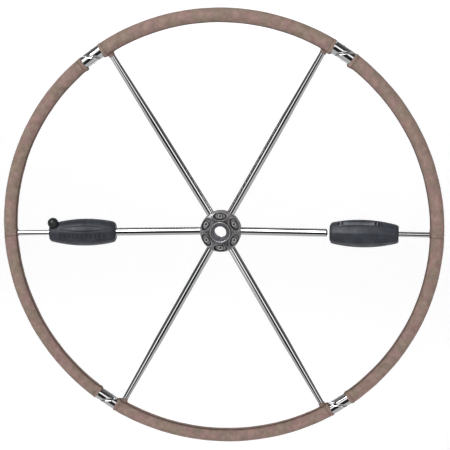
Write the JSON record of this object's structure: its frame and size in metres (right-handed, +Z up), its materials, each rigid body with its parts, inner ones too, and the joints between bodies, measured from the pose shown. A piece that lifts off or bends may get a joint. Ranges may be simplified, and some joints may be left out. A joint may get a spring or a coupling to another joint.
{
  "type": "folding yacht steering wheel",
  "caption": "Dished six-spoke yacht steering wheel with a leather-covered rim that folds on hinges, a keyed hub and sliding grips on the horizontal spokes.",
  "frame": {"origin": "on the shaft's axis, in the plane where the six spokes' centre lines meet", "axes": "+Z up with the two plain spokes level, +Y along the shaft away from the helmsman, -Y towards the helmsman"},
  "size_m": [0.9118, 0.0651, 0.9106],
  "materials": {
    "stainless": "mirror-polished stainless tube",
    "cast_steel": "dark, worn cast steel",
    "leather": "taupe suede, hand-stitched",
    "grip_plastic": "charcoal, satin",
    "black_plastic": "black, slightly glossy"
  },
  "bodies": {
    "wheel_centre": {"hinge_fixed_lower_left": "stainless", "hinge_fixed_lower_right": "stainless", "hinge_fixed_upper_left": "stainless", "hinge_fixed_upper_right": "stainless", "hinge_pin_lower_left": "stainless", "hinge_pin_lower_right": "stainless", "hinge_pin_upper_left": "stainless", "hinge_pin_upper_right": "stainless", "hub_body": "cast_steel", "hub_front_cap": "cast_steel", "hub_screw_1": "cast_steel", "hub_screw_2": "cast_steel", "hub_screw_3": "cast_steel", "hub_screw_4": "cast_steel", "hub_screw_5": "cast_steel", "hub_screw_6": "cast_steel", "hub_sleeve": "cast_steel", "inner_spoke_left": "stainless", "inner_spoke_right": "stainless", "leather_bottom": "leather", "leather_top": "leather", "rim_tube_bottom": "stainless", "rim_tube_top": "stainless", "spoke_lower_left": "stainless", "spoke_lower_right": "stainless", "spoke_upper_left": "stainless", "spoke_upper_right": "stainless"},
    "side_left": {"hinge_moving_lower_left": "stainless", "hinge_moving_upper_left": "stainless", "leather_left_lower": "leather", "leather_left_upper": "leather", "outer_rod_left": "stainless", "rim_tube_left": "stainless", "rod_stop_left": "stainless"},
    "side_right": {"hinge_moving_lower_right": "stainless", "hinge_moving_upper_right": "stainless", "leather_right_lower": "leather", "leather_right_upper": "leather", "outer_rod_right": "stainless", "rim_tube_right": "stainless", "rod_stop_right": "stainless"},
    "sleeve_left": {"grip_ring_left": "black_plastic", "grip_sleeve_left": "black_plastic", "nose_socket_left": "black_plastic"},
    "sleeve_right": {"grip_ring_right": "black_plastic", "grip_sleeve_right": "black_plastic", "nose_socket_right": "black_plastic"},
    "grip_left": {"grip_shell_left": "grip_plastic"},
    "grip_right": {"bar_pin_inner_right": "stainless", "bar_pin_outer_right": "stainless", "grip_shell_right": "grip_plastic"},
    "plunger_left": {"release_ball_left": "black_plastic", "release_stem_left": "stainless"},
    "bar_right": {"press_bar_right": "grip_plastic"}
  },
  "joints": [
    {"name": "fold_left", "type": "hinge", "parent": "wheel_centre", "child": "side_left", "pos_m": [-0.25058, -0.0346, 0], "axis": [0, 0, 1], "range_deg": [0, 90]},
    {"name": "slide_left", "type": "slide", "parent": "side_left", "child": "sleeve_left", "axis": [-0.997, -0.078, 0], "range_m": [0, 0.04]},
    {"name": "twist_left", "type": "hinge", "parent": "sleeve_left", "child": "grip_left", "pos_m": [-0.22073, -0.01726, 0], "axis": [-0.997, -0.078, 0], "range_deg": [0, 90]},
    {"name": "fold_right", "type": "hinge", "parent": "wheel_centre", "child": "side_right", "pos_m": [0.25058, -0.0346, 0], "axis": [0, 0, -1], "range_deg": [0, 90]},
    {"name": "slide_right", "type": "slide", "parent": "side_right", "child": "sleeve_right", "axis": [0.997, -0.078, 0], "range_m": [-0.0066, 0.0334]},
    {"name": "twist_right", "type": "hinge", "parent": "sleeve_right", "child": "grip_right", "pos_m": [0.22731, -0.01778, 0], "axis": [0.997, -0.078, 0], "range_deg": [0, 90]},
    {"name": "pull_ball_left", "type": "slide", "parent": "grip_left", "child": "plunger_left", "axis": [0.0378, -0.4833, 0.8746], "range_m": [0, 0.006], "stiffness_N_per_m": 500, "springref_m": -0.006},
    {"name": "press_bar_right", "type": "slide", "parent": "grip_right", "child": "bar_right", "axis": [0.0342, 0.437, -0.8988], "range_m": [0, 0.0025], "stiffness_N_per_m": 1500, "springref_m": -0.003}
  ]
}
